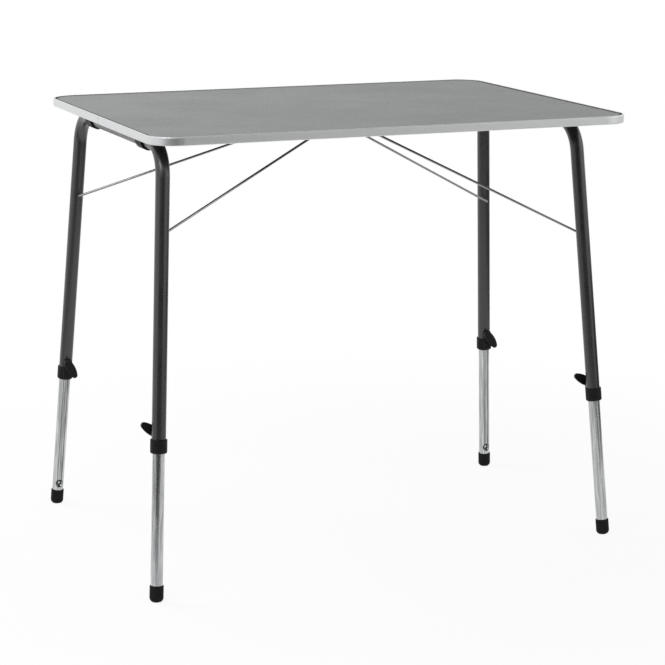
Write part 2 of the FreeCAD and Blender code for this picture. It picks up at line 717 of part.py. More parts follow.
# Collars: a ring on the end of the upper tube, with a tongue and a boss for the clamp screw
def make_collar(frame, end_name, end):
    label = f"{frame.name}_{end_name}_collar"
    body = new_body(label, leg_place(frame, end, s.collar_drop))
    ring = new_sketch(body, "XY_Plane", -s.collar_height)
    add_circle(ring, s.collar_diameter / 2)
    pad(body, ring, s.collar_height)
    round_edges(body, s.collar_round, lambda edge: level_line(edge, 0))
    round_edges(body, s.collar_lower_round, lambda edge: level_line(edge, -s.collar_height))
    tongue_base = s.collar_lower_round - s.collar_height
    tongue = new_sketch(body, "XY_Plane", tongue_base)
    half = s.tongue_width / 2
    add_rectangle(tongue, -half, as_size(0), half, s.tongue_reach)
    pad(body, tongue, s.tongue_rise - tongue_base)
    front = float(s.tongue_reach)

    def tongue_corner(edge):
        box = edge.BoundBox
        across = box.XLength < NEAR and abs(abs(box.XMin) - float(half)) < NEAR
        return across and level_line(edge, s.tongue_rise)

    round_edges(body, s.tongue_round, tongue_corner)

    def tongue_front(edge):
        box = edge.BoundBox
        return abs(box.YMin - front) < NEAR and abs(box.YMax - front) < NEAR

    round_edges(body, s.collar_round, tongue_front)
    boss = new_sketch(body, "XZ_Plane")
    add_circle(boss, s.boss_diameter / 2, 0, s.lever_height)
    pad(body, boss, s.lever_seat, backwards=True)
    seat = new_sketch(body, "XY_Plane", -s.collar_seat)
    add_circle(seat, tube_radius + s.collar_fit)
    pocket(body, seat, s.collar_seat + s.tongue_rise, backwards=True)
    throat = new_sketch(body, "XY_Plane", -s.collar_height)
    add_circle(throat, lower_radius + s.slide_fit)
    pocket(body, throat, s.collar_height, backwards=True)
    hole = new_sketch(body, "XZ_Plane")
    add_circle(hole, screw_radius + s.screw_fit, 0, s.lever_height)
    pocket(body, hole, s.lever_seat)
    keep(body, label)


def lever_place(frame, end, angle):
    """A lever's own axes: Y along its clamp screw, and its tip towards -X."""
    out = float(s.lever_seat + s.lever_gap)
    turn = Placement(Vector(0, out, float(s.lever_height)), Rotation(Vector(0, 1, 0), float(angle)))
    return leg_place(frame, end, s.collar_drop) * turn


# Levers: a leaf shaped paddle moulded over the clamp screw's head
def make_lever(frame, end_name, end, angle):
    label = f"{frame.name}_{end_name}_clamp_lever"
    body = new_body(label, lever_place(frame, end, angle))
    heel, heel_radius = float(s.lever_heel), float(s.lever_heel_radius)
    reach, tip_radius = float(s.lever_reach), float(s.lever_tip_radius)
    side = float(s.lever_side_radius)
    span = reach + heel
    ahead = ((side - tip_radius) ** 2 - (side - heel_radius) ** 2 + span ** 2) / (2 * span)
    aside = math.sqrt((side - tip_radius) ** 2 - ahead ** 2)
    tip_touch = math.degrees(math.atan2(aside, -ahead))
    heel_touch = math.degrees(math.atan2(aside, span - ahead))
    sketch = new_sketch(body, "XZ_Plane")
    tip = sketch.addGeometry(arc_between((-reach, 0), tip_radius, tip_touch, FULL_TURN - tip_touch))
    heel_arc = sketch.addGeometry(arc_between((heel, 0), heel_radius, -heel_touch, heel_touch))
    low = sketch.addGeometry(arc_between((ahead - reach, aside), side, -tip_touch, -heel_touch))
    high = sketch.addGeometry(arc_between((ahead - reach, -aside), side, heel_touch, tip_touch))
    for first, second in ((tip, low), (low, heel_arc), (heel_arc, high), (high, tip)):
        sketch.addConstraint(Sketcher.Constraint("Tangent", first, 2, second, 1))
    sketch.addConstraint(Sketcher.Constraint("Equal", low, high))
    dimension(sketch, "Radius", low, size=s.lever_side_radius)
    place_point(sketch, tip, 3, -s.lever_reach, 0)
    place_point(sketch, heel_arc, 3, s.lever_heel, 0)
    dimension(sketch, "Radius", tip, size=s.lever_tip_radius)
    dimension(sketch, "Radius", heel_arc, size=s.lever_heel_radius)
    pad(body, sketch, s.lever_thickness, backwards=True)
    face = float(s.lever_thickness)
    round_edges(body, s.lever_round, lambda edge: edge.BoundBox.YMin > face - NEAR)
    recess = new_sketch(body, "XZ_Plane")
    add_circle(recess, s.clamp_head_diameter / 2 + s.clamp_fit)
    pocket(body, recess, s.clamp_head_height + s.clamp_fit)
    keep(body, label)


# Clamp screws: from the lever's recess through the boss and the tube to the groove
def make_clamp_screw(frame, end_name, end, angle):
    label = f"{frame.name}_{end_name}_clamp_screw"
    body = new_body(label, lever_place(frame, end, angle))
    head = s.clamp_head_diameter / 2
    tip = lower_radius - s.groove_depth + s.clamp_tip_gap - s.lever_seat - s.lever_gap
    profile = new_sketch(body, "XY_Plane")
    add_outline(profile, [
        (as_size(0), tip), (screw_radius - s.clamp_tip_bevel, tip), (screw_radius, tip + s.clamp_tip_bevel),
        (screw_radius, as_size(0)), (head, as_size(0)), (head, s.clamp_head_height),
        (as_size(0), s.clamp_head_height),
    ])
    revolve(body, profile)
    keep(body, label)


# Lower tubes: plain at the foot, with a pressed groove from a round stop to the top
def make_lower_leg(frame, end_name, end):
    label = f"{frame.name}_{end_name}_lower_leg"
    body = new_body(label, leg_place(frame, end, floor_distance(frame)))
    section = new_sketch(body, "XY_Plane", s.foot_floor)
    add_circle(section, lower_radius)
    add_circle(section, lower_inside)
    top_end = lower_top(frame)
    pad(body, section, top_end - s.foot_floor)
    shallow = s.stop_radius - s.stop_depth
    stop_half = root(s.stop_radius * s.stop_radius - shallow * shallow)
    stop_height = s.groove_end + stop_half
    boss_start = s.groove_end - s.lower_wall
    boss = new_sketch(body, "XY_Plane", boss_start)
    add_lens(boss, rib_reach, stop)
    pad(body, boss, (stop_half + s.lower_wall) * 2)
    rib = new_sketch(body, "XY_Plane", stop_height)
    add_lens(rib, rib_reach, groove)
    pad(body, rib, top_end - stop_height)
    ball = body.newObject("PartDesign::SubtractiveSphere", f"{body.Name}_stop")
    ball.setExpression("Radius", stop.radius.formula)
    ball.setExpression("Placement.Base.y", stop.centre.formula)
    ball.setExpression("Placement.Base.z", stop_height.formula)
    doc.recompute()
    channel = new_sketch(body, "XY_Plane", stop_height)
    add_circle(channel, groove.radius, 0, groove.centre)
    pocket(body, channel, top_end - stop_height, backwards=True)
    keep(body, label)


# Feet: rubber caps, cut level with the floor
def make_foot(frame, end_name, end):
    label = f"{frame.name}_{end_name}_foot"
    place = leg_place(frame, end, floor_distance(frame))
    body = new_body(f"{label}_blank", place)
    outside, bore = s.foot_diameter / 2, lower_radius + s.foot_fit
    profile = new_sketch(body, "XZ_Plane")
    add_outline(profile, [
        (as_size(0), -s.foot_spare), (outside, -s.foot_spare), (outside, s.foot_height),
        (bore, s.foot_height), (bore, s.foot_floor), (as_size(0), s.foot_floor),
    ])
    revolve(body, profile)

    def rim_at(height):
        return lambda edge: level_line(edge, height) and abs(edge.BoundBox.XMax - float(outside)) < NEAR

    round_edges(body, s.foot_round, rim_at(s.foot_height))
    round_edges(body, s.foot_sole_round, rim_at(-s.foot_spare))
    floor = doc.addObject("Part::Box", f"{label}_floor")
    for side in ("Length", "Width", "Height"):
        floor.setExpression(side, (s.foot_diameter * 2).formula)
    span = float(s.foot_diameter)
    floor.Placement = Placement(place.Base - Vector(span, span, span * 2), Rotation())
    foot = doc.addObject("Part::Cut", label)
    foot.Base = body
    foot.Tool = floor
    doc.recompute()
    keep(foot, label)


# Guide plugs: a flange that runs in the upper tube, and a spigot notched for the groove
def make_guide_plug(frame, end_name, end):
    label = f"{frame.name}_{end_name}_guide_plug"
    body = new_body(label, leg_place(frame, end, s.collar_drop - s.lower_overlap))
    flange, spigot = tube_inside - s.plug_fit, lower_inside - s.plug_spigot_fit
    profile = new_sketch(body, "XZ_Plane")
    add_outline(profile, [
        (as_size(0), -s.plug_depth), (spigot, -s.plug_depth), (spigot, as_size(0)),
        (flange, as_size(0)), (flange, s.plug_flange), (as_size(0), s.plug_flange),
    ])
    revolve(body, profile)
    notch = new_sketch(body, "XY_Plane", -s.plug_depth)
    gap = s.plug_spigot_fit
    reach, floor = groove.half + gap, groove.centre - groove.back - gap
    add_rectangle(notch, -reach, floor, reach, lower_radius)
    pocket(body, notch, s.plug_depth, backwards=True)
    keep(body, label)


# The table
make_board()
make_trim()
saddle_screws, catch_screws = screw_points()
make_screws("saddle_screws", s.saddle_flange, saddle_screws)
make_catch()
make_screws("catch_screws", s.catch_plate, catch_screws)
for frame in FRAMES:
    make_leg_frame(frame)
    make_stay(frame)
    for end_name, along in saddle_places(frame):
        make_saddle(frame, end_name, along)
    for end_name, end, angle in ENDS:
        make_collar(frame, end_name, end)
        make_lever(frame, end_name, end, angle)
        make_clamp_screw(frame, end_name, end, angle)
        make_lower_leg(frame, end_name, end)
        make_foot(frame, end_name, end)
        make_guide_plug(frame, end_name, end)
doc.recompute()

# Every object is sound before any file is written
for item in doc.Objects:
    if "Invalid" in item.State or "Error" in item.State:
        raise RuntimeError(f"{item.Label} failed: {item.State}")
for label, item in nodes.items():
    if item.Shape.isNull() or not item.Shape.isValid():
        raise RuntimeError(f"{label} has no sound shape")

os.makedirs("parts", exist_ok=True)
for label, item in nodes.items():
    item.Shape.exportStep(f"parts/{label}.step")
    print(f"{label}: {len(item.Shape.Solids)} solid(s), {item.Shape.Volume:.1f} mm3")
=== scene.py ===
import json
import math
from collections import namedtuple

import bmesh
import bpy
from bpy.props import FloatProperty, FloatVectorProperty, PointerProperty
from mathutils import Euler, Matrix, Vector


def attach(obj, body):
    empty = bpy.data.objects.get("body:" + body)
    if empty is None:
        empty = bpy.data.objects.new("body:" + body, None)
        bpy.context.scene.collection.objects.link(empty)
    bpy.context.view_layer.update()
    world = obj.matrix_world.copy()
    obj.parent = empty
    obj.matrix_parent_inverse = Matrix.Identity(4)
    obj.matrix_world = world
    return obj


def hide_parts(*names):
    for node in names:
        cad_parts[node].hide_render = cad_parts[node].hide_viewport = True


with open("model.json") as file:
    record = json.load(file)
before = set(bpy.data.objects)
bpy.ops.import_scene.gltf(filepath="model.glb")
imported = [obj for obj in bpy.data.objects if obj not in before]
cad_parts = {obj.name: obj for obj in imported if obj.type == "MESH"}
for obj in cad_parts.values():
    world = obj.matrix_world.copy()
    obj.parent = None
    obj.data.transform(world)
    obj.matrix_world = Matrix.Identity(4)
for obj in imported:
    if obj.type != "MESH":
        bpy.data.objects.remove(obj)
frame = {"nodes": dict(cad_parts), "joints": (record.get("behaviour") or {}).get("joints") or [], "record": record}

bl_info = {
    "name": "Camping Table Looks",
    "version": (1, 0, 0),
    "blender": (4, 5, 0),
    "location": "View3D > Sidebar > Camping Table",
    "description": "Finishes, small details and a studio for a folding camping table",
    "category": "Object",
}

NODES = frame["nodes"]
SLOT_OF = {row["node"]: row["material_slot"] for row in frame["record"]["subparts"]}
JOINTS = {row["name"]: row for row in frame["joints"]}
LEGS = [f"{side}_{end}" for side in ("left", "right") for end in ("front", "back")]
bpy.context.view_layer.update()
# Screws: space that parts two of them, steps of their rounding, narrowing of the recess towards its floor
SCREW_SPACE = 0.012
SCREW_STEPS = 40
CROWN_STEPS = 5
RECESS_REACH_TAPER = 0.6
RECESS_HALF_TAPER = 0.7
SHARP_ANGLE = math.radians(32.0)
# Board and tubes: closeness of points, limit of faces that look down, stretch of the streaks along a tube
NEAR = 1e-5
FACES_DOWN = -0.5
STREAKS = (1.0, 1.0, 0.05)
# Painted shade in a groove by its depth, as a share of the depth of the round stop
STOP_DEPTH = 0.0054
GROOVE_SHADE_STOPS = (
    (0.015, 0.0), (0.05, 0.8), (0.2, 0.8), (0.33, 0.25), (0.5, 0.25), (0.55, 1.0), (0.87, 1.0), (0.95, 0.0),
)
# Noise inside the shared effects
GRAIN_MIDDLE = 0.5
DRIFT_DETAIL = 4.0
DRIFT_LOW, DRIFT_HIGH = 0.3, 0.7
RELIEF_DETAIL = 2.0
# Fine texture of each finish: its grain, the drift of its gloss and its relief
Texture = namedtuple("Texture", "grain contrast drift swing relief strength height")
TEXTURES = {
    "grey_laminate": Texture(380.0, 0.16, 9.0, 0.04, 700.0, 0.12, 0.0001),
    "silver_trim": Texture(260.0, 0.3, 14.0, 0.03, 1500.0, 0.05, 0.0001),
    "charcoal_paint": Texture(420.0, 0.25, 30.0, 0.04, 600.0, 0.10, 0.0001),
    "galvanised_tube": Texture(420.0, 0.14, 300.0, 0.07, 700.0, 0.12, 0.0001),
    "bright_wire": Texture(240.0, 0.3, 60.0, 0.04, 900.0, 0.05, 0.0001),
    "plated_screws": Texture(900.0, 0.3, 240.0, 0.06, 2500.0, 0.15, 0.00005),
    "black_plastic": Texture(500.0, 0.25, 60.0, 0.06, 2200.0, 0.35, 0.00008),
    "black_rubber": Texture(300.0, 0.25, 80.0, 0.06, 1800.0, 0.4, 0.0001),
}
# Darkest and lightest grain of the finishes with one colour, as shares of that colour
TONES = {
    "silver_trim": (0.95, 1.0), "charcoal_paint": (0.85, 1.2), "bright_wire": (0.9, 1.0),
    "plated_screws": (0.85, 1.0), "black_plastic": (0.8, 1.3), "black_rubber": (0.8, 1.5),
}
# Mirrored light of the finishes that are not bare metal
SHEEN = {"grey_laminate": 0.25, "charcoal_paint": 0.8, "black_plastic": 0.16, "black_rubber": 0.14}
# Studio
FLOOR_REACH = 9.0
FADE_START, FADE_END = 0.5, 1.5
SENSOR_WIDTH = 36.0
CAMERA_RANGE = 50.0
FLOOR_LIFT = 0.002
CEILING = 2.9
CARD_GREY = 0.09
CARD_BLACK = 0.01
# Softboxes: place, aim, size, and whether they show in reflections
LAMPS = {
    "left": ((-2.0, -1.4, 2.3), (-0.1, 0.0, 0.6), (1.2, 1.2), True),
    "right": ((2.4, -1.6, 1.5), (0.1, 0.0, 0.5), (0.5, 1.6), True),
    "back": ((-1.3, 1.3, 1.9), (-0.1, 0.1, 0.71), (1.2, 1.2), False),
    "bend": ((-1.6, -2.3, 2.6), (-0.4, -0.2, 0.6), (0.5, 0.5), True),
}


def laid(height, outline):
    """Corners of a level card."""
    return [(x, y, height) for x, y in outline]


def stood(start, end, height):
    """Corners of a card that stands on the floor."""
    return [(*start, 0.0), (*end, 0.0), (*end, height), (*start, height)]


# Dark cards round the set, by their corners, seen only in reflections
DARK_CARDS = {
    "left_dark_floor": laid(FLOOR_LIFT, [
        (-2.2, 0.8), (-2.2, -1.5), (-4.0, -2.5), (-4.0, -6.0), (-0.3, -6.0), (-0.3, -1.2), (-0.75, -1.05),
        (-1.2, -0.5), (-1.35, 0.6),
    ]),
    "front_dark_floor": laid(FLOOR_LIFT, [(-0.3, -1.8), (-0.3, -6.0), (1.6, -6.0), (1.75, -1.8)]),
    "right_dark_floor": laid(FLOOR_LIFT, [
        (0.5, -1.1), (0.5, -1.8), (2.2, -1.6), (2.2, 0.8), (1.35, 0.6), (1.35, -0.4), (1.0, -0.9),
    ]),
    "front_dark_wall": stood((-4.0, -6.0), (1.6, -6.0), 3.0),
    "left_dark_wall": stood((-4.0, -2.5), (-4.0, -6.0), 1.6),
    "right_dark_wall": stood((2.2, -1.6), (2.2, 0.8), 0.35),
    "dark_ceiling": laid(CEILING, [(-1.2, -2.6), (1.8, -2.6), (1.8, 0.5), (-1.2, 0.5)]),
}


# Settings that a user would change
def colour_setting(name, description, default):
    return FloatVectorProperty(
        name=name, description=description, default=default, size=3, subtype="COLOR", min=0.0, max=1.0,
    )


def share_setting(name, description, default):
    return FloatProperty(
        name=name, description=description, default=default, subtype="FACTOR", min=0.0, max=1.0,
    )


def length_setting(name, description, default):
    return FloatProperty(name=name, description=description, default=default, unit="LENGTH", precision=5)


def place_setting(name, description, default):
    return FloatVectorProperty(name=name, description=description, default=default, size=3, subtype="XYZ")


def angle_setting(name, description, default):
    return FloatProperty(name=name, description=description, default=default, subtype="ANGLE")


def power_setting(name, description, default):
    return FloatProperty(name=name, description=description, default=default, unit="POWER")


class TableFinishSettings(bpy.types.PropertyGroup):
    """Colours and gloss of the table's finishes."""

    laminate_dark: colour_setting("Laminate, dark", "Darker flecks of the deck", (0.160, 0.164, 0.165))
    laminate_light: colour_setting("Laminate, light", "Lighter flecks of the deck", (0.232, 0.238, 0.239))
    underside: colour_setting("Underside", "Backing paper of the board", (0.075, 0.073, 0.07))
    # Colour of the shade painted along the gap between the deck and its trim
    joint: colour_setting("Gap shade", "Dark joint between the deck and its trim", (0.02, 0.02, 0.02))
    laminate_roughness: share_setting("Laminate roughness", "Roughness of the deck", 0.5)
    trim: colour_setting("Trim", "Satin silver of the edge trim", (0.77, 0.78, 0.785))
    trim_roughness: share_setting("Trim roughness", "Roughness of the edge trim", 0.45)
    paint: colour_setting("Paint", "Charcoal coat of the leg frames", (0.021, 0.021, 0.0215))
    paint_roughness: share_setting("Paint roughness", "Roughness of the charcoal coat", 0.30)
    zinc_dark: colour_setting("Zinc, dark", "Darker streaks of the lower tubes", (0.34, 0.345, 0.35))
    zinc_light: colour_setting("Zinc, light", "Brighter streaks of the lower tubes", (0.64, 0.645, 0.65))
    zinc_roughness: share_setting("Zinc roughness", "Roughness of the lower tubes", 0.26)
    # Colour of the shade painted on the rims of the grooves and in their round stops
    painted_shade: colour_setting("Groove shade", "Rubbed rims of the grooves", (0.05, 0.05, 0.05))
    wire: colour_setting("Wire", "Bright plating of the stays", (0.31, 0.31, 0.31))
    wire_roughness: share_setting("Wire roughness", "Roughness of the plating", 0.12)
    plated: colour_setting("Screws", "Zinc plate of the screws", (0.66, 0.66, 0.63))
    plated_roughness: share_setting("Screw roughness", "Roughness of the screws", 0.32)
    plastic: colour_setting("Plastic", "Black mouldings", (0.0075, 0.0075, 0.0078))
    plastic_roughness: share_setting("Plastic roughness", "Roughness of the mouldings", 0.5)
    rubber: colour_setting("Rubber", "Black feet", (0.0075, 0.0075, 0.0076))
    rubber_roughness: share_setting("Rubber roughness", "Roughness of the feet", 0.72)


class TableDetailSettings(bpy.types.PropertyGroup):
    """Sizes of the small details."""

    # Width of the line of shade painted along the deck's edge
    gap_shade_line: length_setting("Joint line", "Width of the dark joint at the deck's edge", 0.004)
    screw_head: length_setting("Screw head", "Radius of a wood screw's head", 0.004)
    screw_head_height: length_setting("Screw head height", "Height of a wood screw's head", 0.0026)
    screw_crown: length_setting("Screw crown", "Rounding of a wood screw's head", 0.0013)
    screw_shank: length_setting("Screw shank", "Radius of a wood screw's shank", 0.002)
    recess_reach: length_setting("Recess reach", "Length of an arm of the cross recess", 0.0019)
    recess_half: length_setting("Recess width", "Half the width of an arm of the cross recess", 0.0005)
    recess_depth: length_setting("Recess depth", "Depth of the cross recess", 0.0014)


class TableStudioSettings(bpy.types.PropertyGroup):
    """Camera, floor and light of the studio."""

    camera_place: place_setting("Camera", "Place of the camera", (-1.40904, -3.47771, 1.15093))
    camera_azimuth: angle_setting(
        "Azimuth", "Camera's turn to the left of the table's front", math.radians(-22.106),
    )
    camera_elevation: angle_setting("Elevation", "Camera's tilt below the level", math.radians(12.311))
    camera_roll: angle_setting("Roll", "Camera's roll about its line of sight", 0.00255)
    camera_lens: FloatProperty(
        name="Lens", description="Focal length for a 36 mm sensor", default=123.56, unit="CAMERA",
    )
    floor_colour: colour_setting("Floor", "Pale floor and backdrop", (0.86, 0.86, 0.86))
    floor_white: share_setting("Floor white", "Share of the floor that shows white under the table", 0.9)
    room_level: share_setting("Room light", "Soft light from the room all round", 0.5)
    left_power: power_setting("Left lamp", "Power of the left softbox", 21.0)
    right_power: power_setting("Right lamp", "Power of the right softbox", 6.0)
    bend_power: power_setting("Bend lamp", "Power of the small high softbox", 5.0)
    back_power: power_setting("Back lamp", "Power of the back softbox", 30.0)


# Small tools for node trees
def add_node(tree, kind, **values):
    """Adds a node and sets its properties."""
    made = tree.nodes.new(kind)
    for name, value in values.items():
        setattr(made, name, value)
    return made


def set_inputs(node, **values):
    """Sets constant inputs by their names, with spaces written as underscores."""
    for name, value in values.items():
        node.inputs[name.replace("_", " ")].default_value = value
    return node


def start_effect(name, inputs, outputs):
    """Starts a shared effect with named inputs and outputs."""
    group = bpy.data.node_groups.new(name, "ShaderNodeTree")
    for label, kind, default in inputs:
        socket = group.interface.new_socket(label, in_out="INPUT", socket_type=kind)
        if default is not None:
            socket.default_value = default
    for label, kind in outputs:
        group.interface.new_socket(label, in_out="OUTPUT", socket_type=kind)
    entry = add_node(group, "NodeGroupInput")
    leave = add_node(group, "NodeGroupOutput")
    return group, entry, leave


def place_effect(tree, group, vector, **values):
    """Places a shared effect in a material with the material's own values."""
    made = add_node(tree, "ShaderNodeGroup", node_tree=group)
    tree.links.new(vector, made.inputs["Vector"])
    return set_inputs(made, **values)


def opaque(colour):
    return (*colour, 1.0)


# Shared effects
def make_tinted_grain():
    """Mixes two colours by a fine grain."""
    group, entry, leave = start_effect(
        "Tinted grain",
        [
            ("Vector", "NodeSocketVector", None), ("Scale", "NodeSocketFloat", 600.0),
            ("Detail", "NodeSocketFloat", 3.0), ("Contrast", "NodeSocketFloat", 0.25),
            ("Dark", "NodeSocketColor", (0.2, 0.2, 0.2, 1.0)),
            ("Light", "NodeSocketColor", (0.4, 0.4, 0.4, 1.0)),
        ],
        [("Colour", "NodeSocketColor")],
    )
    links = group.links
    noise = add_node(group, "ShaderNodeTexNoise")
    low = add_node(group, "ShaderNodeMath", operation="SUBTRACT")
    high = add_node(group, "ShaderNodeMath", operation="ADD")
    low.inputs[0].default_value = GRAIN_MIDDLE
    high.inputs[0].default_value = GRAIN_MIDDLE
    spread = add_node(group, "ShaderNodeMapRange")
    mix = add_node(group, "ShaderNodeMix", data_type="RGBA")
    links.new(entry.outputs["Vector"], noise.inputs["Vector"])
    links.new(entry.outputs["Scale"], noise.inputs["Scale"])
    links.new(entry.outputs["Detail"], noise.inputs["Detail"])
    links.new(entry.outputs["Contrast"], low.inputs[1])
    links.new(entry.outputs["Contrast"], high.inputs[1])
    links.new(noise.outputs["Fac"], spread.inputs["Value"])
    links.new(low.outputs[0], spread.inputs["From Min"])
    links.new(high.outputs[0], spread.inputs["From Max"])
    links.new(spread.outputs["Result"], mix.inputs["Factor"])
    links.new(entry.outputs["Dark"], mix.inputs["A"])
    links.new(entry.outputs["Light"], mix.inputs["B"])
    links.new(mix.outputs["Result"], leave.inputs["Colour"])
    return group


def make_gloss_drift():
    """Lets roughness wander softly between two values."""
    group, entry, leave = start_effect(
        "Gloss drift",
        [
            ("Vector", "NodeSocketVector", None), ("Scale", "NodeSocketFloat", 20.0),
            ("Low", "NodeSocketFloat", 0.3), ("High", "NodeSocketFloat", 0.4),
        ],
        [("Roughness", "NodeSocketFloat")],
    )
    noise = add_node(group, "ShaderNodeTexNoise")
    noise.inputs["Detail"].default_value = DRIFT_DETAIL
    spread = add_node(group, "ShaderNodeMapRange")
    set_inputs(spread, From_Min=DRIFT_LOW, From_Max=DRIFT_HIGH)
    links = group.links
    links.new(entry.outputs["Vector"], noise.inputs["Vector"])
    links.new(entry.outputs["Scale"], noise.inputs["Scale"])
    links.new(noise.outputs["Fac"], spread.inputs["Value"])
    links.new(entry.outputs["Low"], spread.inputs["To Min"])
    links.new(entry.outputs["High"], spread.inputs["To Max"])
    links.new(spread.outputs["Result"], leave.inputs["Roughness"])
    return group


def make_fine_relief():
    """Raises a fine grain on a surface."""
    group, entry, leave = start_effect(
        "Fine relief",
        [
            ("Vector", "NodeSocketVector", None), ("Scale", "NodeSocketFloat", 900.0),
            ("Strength", "NodeSocketFloat", 0.1), ("Height", "NodeSocketFloat", 0.0002),
        ],
        [("Normal", "NodeSocketVector")],
    )
    noise = add_node(group, "ShaderNodeTexNoise")
    noise.inputs["Detail"].default_value = RELIEF_DETAIL
    bump = add_node(group, "ShaderNodeBump")
    links = group.links
    links.new(entry.outputs["Vector"], noise.inputs["Vector"])
    links.new(entry.outputs["Scale"], noise.inputs["Scale"])
    links.new(entry.outputs["Strength"], bump.inputs["Strength"])
    links.new(entry.outputs["Height"], bump.inputs["Distance"])
    links.new(noise.outputs["Fac"], bump.inputs["Height"])
    links.new(bump.outputs["Normal"], leave.inputs["Normal"])
    return group


def make_border_line():
    """Masks a line along the inside of a rounded rectangle's edge."""
    group, entry, leave = start_effect(
        "Border line",
        [
            ("Vector", "NodeSocketVector", None), ("Core", "NodeSocketVector", None),
            ("Corner", "NodeSocketFloat", 0.04), ("Line", "NodeSocketFloat", 0.002),
        ],
        [("Mask", "NodeSocketFloat")],
    )
    folded = add_node(group, "ShaderNodeVectorMath", operation="ABSOLUTE")
    beyond = add_node(group, "ShaderNodeVectorMath", operation="SUBTRACT")
    kept = add_node(group, "ShaderNodeVectorMath", operation="MAXIMUM")
    kept.inputs[1].default_value = (0.0, 0.0, 0.0)
    level = add_node(group, "ShaderNodeVectorMath", operation="MULTIPLY")
    level.inputs[1].default_value = (1.0, 1.0, 0.0)
    reach = add_node(group, "ShaderNodeVectorMath", operation="LENGTH")
    inside = add_node(group, "ShaderNodeMath", operation="SUBTRACT")
    near = add_node(group, "ShaderNodeMath", operation="LESS_THAN")
    links = group.links
    links.new(entry.outputs["Vector"], folded.inputs[0])
    links.new(folded.outputs["Vector"], beyond.inputs[0])
    links.new(entry.outputs["Core"], beyond.inputs[1])
    links.new(beyond.outputs["Vector"], kept.inputs[0])
    links.new(kept.outputs["Vector"], level.inputs[0])
    links.new(level.outputs["Vector"], reach.inputs[0])
    links.new(entry.outputs["Corner"], inside.inputs[0])
    links.new(reach.outputs["Value"], inside.inputs[1])
    links.new(inside.outputs[0], near.inputs[0])
    links.new(entry.outputs["Line"], near.inputs[1])
    links.new(near.outputs[0], leave.inputs["Mask"])
    return group


def make_groove_painted_shade():
    """Masks where shade is painted in a groove pressed into an upright tube: along its rims, faintly on its floor,
    and fully in its round stop.
    """
    group, entry, leave = start_effect(
        "Groove wear",
        [
            ("Vector", "NodeSocketVector", None), ("Axis", "NodeSocketVector", None),
            ("Radius", "NodeSocketFloat", 0.01), ("Depth", "NodeSocketFloat", 0.001),
        ],
        [("Mask", "NodeSocketFloat")],
    )
    across = add_node(group, "ShaderNodeVectorMath", operation="SUBTRACT")
    level = add_node(group, "ShaderNodeVectorMath", operation="MULTIPLY")
    level.inputs[1].default_value = (1.0, 1.0, 0.0)
    reach = add_node(group, "ShaderNodeVectorMath", operation="LENGTH")
    sunk = add_node(group, "ShaderNodeMath", operation="SUBTRACT")
    share = add_node(group, "ShaderNodeMath", operation="DIVIDE")
    band = add_node(group, "ShaderNodeValToRGB")
    stops = band.color_ramp.elements
    for place, _ in GROOVE_SHADE_STOPS[2:]:
        stops.new(place)
    for stop, (place, grey) in zip(stops, GROOVE_SHADE_STOPS):
        stop.position = place
        stop.color = opaque((grey, grey, grey))
    links = group.links
    links.new(entry.outputs["Vector"], across.inputs[0])
    links.new(entry.outputs["Axis"], across.inputs[1])
    links.new(across.outputs["Vector"], level.inputs[0])
    links.new(level.outputs["Vector"], reach.inputs[0])
    links.new(entry.outputs["Radius"], sunk.inputs[0])
    links.new(reach.outputs["Value"], sunk.inputs[1])
    links.new(sunk.outputs[0], share.inputs[0])
    links.new(entry.outputs["Depth"], share.inputs[1])
    links.new(share.outputs[0], band.inputs["Fac"])
    links.new(band.outputs["Color"], leave.inputs["Mask"])
    return group


EFFECTS = {}


def effect(name):
    """Gives a shared effect, built at its first use."""
    makers = {
        "tinted_grain": make_tinted_grain, "gloss_drift": make_gloss_drift, "fine_relief": make_fine_relief,
        "border_line": make_border_line, "groove_painted_shade": make_groove_painted_shade,
    }
    if name not in EFFECTS:
        EFFECTS[name] = makers[name]()
    return EFFECTS[name]


# Materials
def start_material(name):
    """Starts a material and gives its tree, shader and object coordinates."""
    material = bpy.data.materials.new(name)
    material.use_nodes = True
    tree = material.node_tree
    shader = next(node for node in tree.nodes if node.type == "BSDF_PRINCIPLED")
    coordinates = add_node(tree, "ShaderNodeTexCoord")
    return material, tree, shader, coordinates


def add_texture(tree, shader, vector, slot, dark, light, roughness):
    """Gives a shader the grain, gloss and relief of one finish, and hands back the grain's colour."""
    texture = TEXTURES[slot]
    grain = place_effect(
        tree, effect("tinted_grain"), vector, Scale=texture.grain, Contrast=texture.contrast,
        Dark=opaque(dark), Light=opaque(light),
    )
    drift = place_effect(
        tree, effect("gloss_drift"), vector, Scale=texture.drift,
        Low=roughness - texture.swing, High=roughness + texture.swing,
    )
    relief = place_effect(
        tree, effect("fine_relief"), vector, Scale=texture.relief, Strength=texture.strength,
        Height=texture.height,
    )
    tree.links.new(grain.outputs["Colour"], shader.inputs["Base Color"])
    tree.links.new(drift.outputs["Roughness"], shader.inputs["Roughness"])
    tree.links.new(relief.outputs["Normal"], shader.inputs["Normal"])
    return grain.outputs["Colour"]


def shade(colour, factor):
    """A colour made darker or lighter."""
    return tuple(min(1.0, channel * factor) for channel in colour)


def plain_material(slot, colour, roughness):
    """A finish of one colour with its fine texture all over, bare metal unless it has a sheen."""
    material, tree, shader, coordinates = start_material(slot)
    dark, light = (shade(colour, tone) for tone in TONES[slot])
    add_texture(tree, shader, coordinates.outputs["Object"], slot, dark, light, roughness)
    if slot in SHEEN:
        set_inputs(shader, Specular_IOR_Level=SHEEN[slot])
    else:
        set_inputs(shader, Metallic=1.0)
    return material


def deck_outline():
    """Half sizes and corner radius of the deck, read from the board."""
    points = [vertex.co for vertex in NODES["table_board"].data.vertices]
    height = max(point.z for point in points)
    rim = [point for point in points if height - point.z < NEAR]
    half_length, half_width = max(point.x for point in rim), max(point.y for point in rim)
    straight = max(point.y for point in rim if half_length - point.x < NEAR)
    return half_length, half_width, half_width - straight


